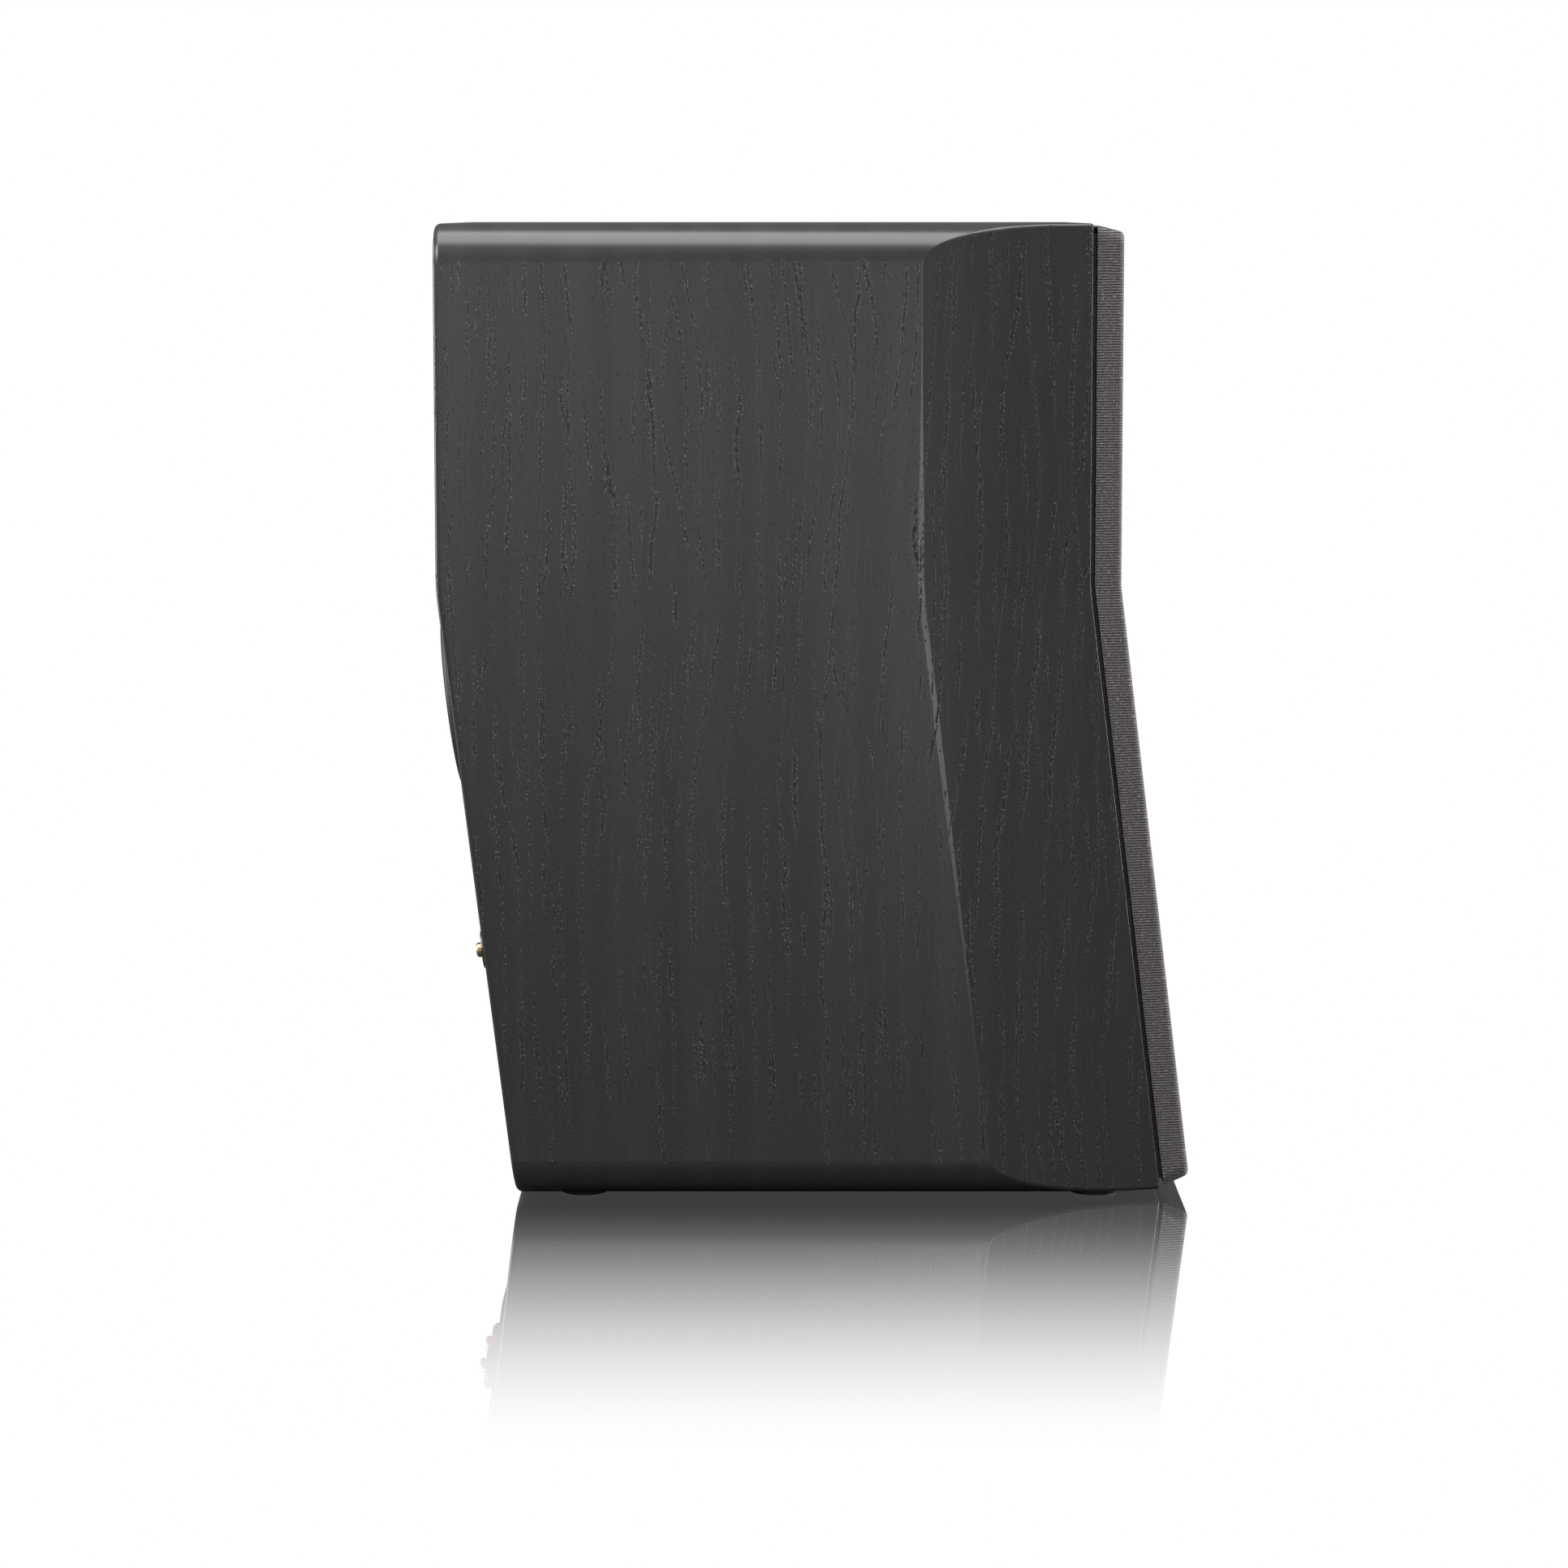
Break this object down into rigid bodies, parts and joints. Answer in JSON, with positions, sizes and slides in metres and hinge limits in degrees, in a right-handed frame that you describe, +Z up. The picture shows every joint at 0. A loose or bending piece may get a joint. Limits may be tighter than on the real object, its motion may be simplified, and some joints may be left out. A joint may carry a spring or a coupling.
{
  "type": "bookshelf speaker",
  "caption": "Two-way bass-reflex bookshelf speaker: bent, forward-leaning cabinet in black wood veneer with faceted front sides, pull-off cloth grille, rear port and screw-down binding posts.",
  "frame": {"origin": "on the shelf, centred on the bounding box in X and Y", "axes": "+Z up; the listening side with its grille faces -Y; the port and the terminals face +Y; +X is on the right of somebody who looks at the grille"},
  "size_m": [0.216, 0.3006, 0.3823],
  "materials": {
    "veneer": "black-stained open-pore oak veneer, satin lacquer, over MDF",
    "baffle_finish": "black satin lacquer over MDF",
    "bare_board": "raw MDF",
    "grille_cloth": "charcoal open-weave acoustic cloth",
    "grille_frame": "moulded, fine grain",
    "magnet": "nickel-plated",
    "foot_rubber": "matt",
    "basket": "satin black powder coat",
    "cone": "mineral-filled polypropylene, faint sheen",
    "dust_cap": "soft satin",
    "surround_rubber": "matt butyl rubber",
    "spider_cloth": "resin-stiffened cotton",
    "coil_former": "bright foil",
    "copper": "enamelled copper wire",
    "ferrite": "pressed ferrite, ground faces",
    "motor_steel": "zinc-plated",
    "gasket_foam": "closed-cell foam",
    "screw_black": "black oxide",
    "faceplate": "satin",
    "dome_cloth": "coated silk",
    "chamber": "moulded",
    "port_plastic": "fine grain",
    "terminal_plastic": "fine grain",
    "terminal_metal": "gold-flashed",
    "knob_red": "polished",
    "knob_black": "polished",
    "circuit_board": "green solder mask",
    "capacitor_film": "yellow film wrap",
    "ceramic": "cement-coated",
    "standoff": "nylon",
    "wadding": "white polyester fibre",
    "insulation": "PVC sleeve"
  },
  "bodies": {
    "cabinet": {"back_panel": "veneer", "baffle_magnets": "magnet", "bottom_panel": "veneer", "crossover_board": "circuit_board", "crossover_capacitors": "capacitor_film", "crossover_inductors": "copper", "crossover_resistors": "ceramic", "crossover_screws": "screw_black", "crossover_standoffs": "standoff", "damping_wadding": "wadding", "front_baffle": "baffle_finish", "input_wires": "insulation", "port_flange": "port_plastic", "port_inner_flare": "port_plastic", "port_tube": "port_plastic", "post_nuts": "terminal_metal", "post_studs": "terminal_metal", "rubber_feet": "foot_rubber", "side_panel_left": "veneer", "side_panel_right": "veneer", "terminal_cup": "terminal_plastic", "terminal_screws": "screw_black", "top_panel": "veneer", "tweeter_faceplate": "faceplate", "tweeter_gasket": "gasket_foam", "tweeter_magnet": "ferrite", "tweeter_rear_chamber": "chamber", "tweeter_screws": "screw_black", "tweeter_surround": "dome_cloth", "tweeter_top_plate": "motor_steel", "tweeter_wires": "insulation", "tweeter_yoke": "motor_steel", "window_brace": "bare_board", "woofer_basket": "basket", "woofer_gasket": "gasket_foam", "woofer_magnet": "ferrite", "woofer_screws": "screw_black", "woofer_spider": "spider_cloth", "woofer_surround": "surround_rubber", "woofer_top_plate": "motor_steel", "woofer_wires": "insulation", "woofer_yoke": "motor_steel"},
    "grille": {"grille_frame": "grille_frame", "grille_cloth": "grille_cloth", "grille_magnets": "magnet"},
    "woofer_cone_assembly": {"woofer_cone": "cone", "woofer_dust_cap": "dust_cap", "woofer_coil_former": "coil_former", "woofer_voice_coil": "copper"},
    "tweeter_dome_assembly": {"tweeter_dome": "dome_cloth", "tweeter_voice_coil": "copper"},
    "washer_red": {"clamp_washer_red": "terminal_metal"},
    "knob_red": {"knob_red": "knob_red"},
    "washer_black": {"clamp_washer_black": "terminal_metal"},
    "knob_black": {"knob_black": "knob_black"}
  },
  "joints": [
    {"name": "grille_pull", "type": "slide", "parent": "cabinet", "child": "grille", "axis": [0, -1, 0], "range_m": [0, 0.15]},
    {"name": "woofer_excursion", "type": "slide", "parent": "cabinet", "child": "woofer_cone_assembly", "axis": [0, -0.9925, 0.1219], "range_m": [-0.006, 0.006], "stiffness_N_per_m": 1250, "deforming": ["woofer_surround", "woofer_spider"]},
    {"name": "tweeter_excursion", "type": "slide", "parent": "cabinet", "child": "tweeter_dome_assembly", "axis": [0, -1, 0], "range_m": [-0.0003, 0.0003], "stiffness_N_per_m": 500, "deforming": ["tweeter_surround"]},
    {"name": "clamp_slide_red", "type": "slide", "parent": "cabinet", "child": "washer_red", "axis": [0, 0.9925, -0.1219], "range_m": [0, 0.005]},
    {"name": "knob_spin_red", "type": "hinge", "parent": "washer_red", "child": "knob_red", "pos_m": [0.019, 0.12613, 0.088], "axis": [0, 0.9925, -0.1219], "range_deg": [0, 1800]},
    {"name": "clamp_slide_black", "type": "slide", "parent": "cabinet", "child": "washer_black", "axis": [0, 0.9925, -0.1219], "range_m": [0, 0.005]},
    {"name": "knob_spin_black", "type": "hinge", "parent": "washer_black", "child": "knob_black", "pos_m": [-0.019, 0.12613, 0.088], "axis": [0, 0.9925, -0.1219], "range_deg": [0, 1800]}
  ],
  "couplings": [
    {"joint": "knob_spin_red", "follows": "clamp_slide_red", "rad_per_m": 6283},
    {"joint": "knob_spin_black", "follows": "clamp_slide_black", "rad_per_m": 6283}
  ]
}
